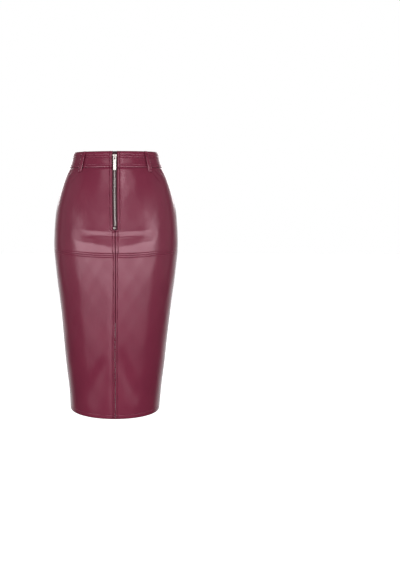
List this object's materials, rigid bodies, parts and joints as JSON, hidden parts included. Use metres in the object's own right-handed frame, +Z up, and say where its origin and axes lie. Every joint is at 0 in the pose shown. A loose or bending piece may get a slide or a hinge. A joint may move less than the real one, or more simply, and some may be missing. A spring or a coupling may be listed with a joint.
{
  "type": "leather pencil skirt",
  "caption": "Burgundy leather pencil skirt, knee length: waistband with belt loops, metal front zip with pull tab, hip yoke, topstitched seams, vent at the centre back; hollow as worn.",
  "frame": {"origin": "middle of the waist opening, level with the top edge at the side seams", "axes": "+Z up, the front faces -Y, the wearer's left is +X"},
  "size_m": [0.333, 0.2453, 0.6991],
  "materials": {
    "leather": "soft satin, burgundy coated leather",
    "zip_tape": "matt woven tape, dark burgundy",
    "zip_metal": "polished nickel"
  },
  "bodies": {
    "skirt": {"waistband_front_left": "leather", "waistband_front_right": "leather", "waistband_back": "leather", "front_yoke_left": "leather", "front_yoke_right": "leather", "back_yoke_left": "leather", "back_yoke_right": "leather", "front_skirt_left": "leather", "front_skirt_right": "leather", "back_skirt_left": "leather", "back_skirt_right": "leather", "belt_loop_front_left": "leather", "belt_loop_front_right": "leather", "belt_loop_back_left": "leather", "belt_loop_back_right": "leather", "belt_loop_centre_back": "leather", "zip_tape_left": "zip_tape", "zip_tape_right": "zip_tape", "zip_chain": "zip_metal", "zip_bottom_stop": "zip_metal", "zip_slider": "zip_metal"},
    "pull": {"zip_pull": "zip_metal"}
  },
  "joints": [
    {"name": "pull_swing", "type": "hinge", "parent": "skirt", "child": "pull", "pos_m": [0, -0.09832, -0.0226], "axis": [-1, 0, 0], "range_deg": [0, 170]}
  ]
}
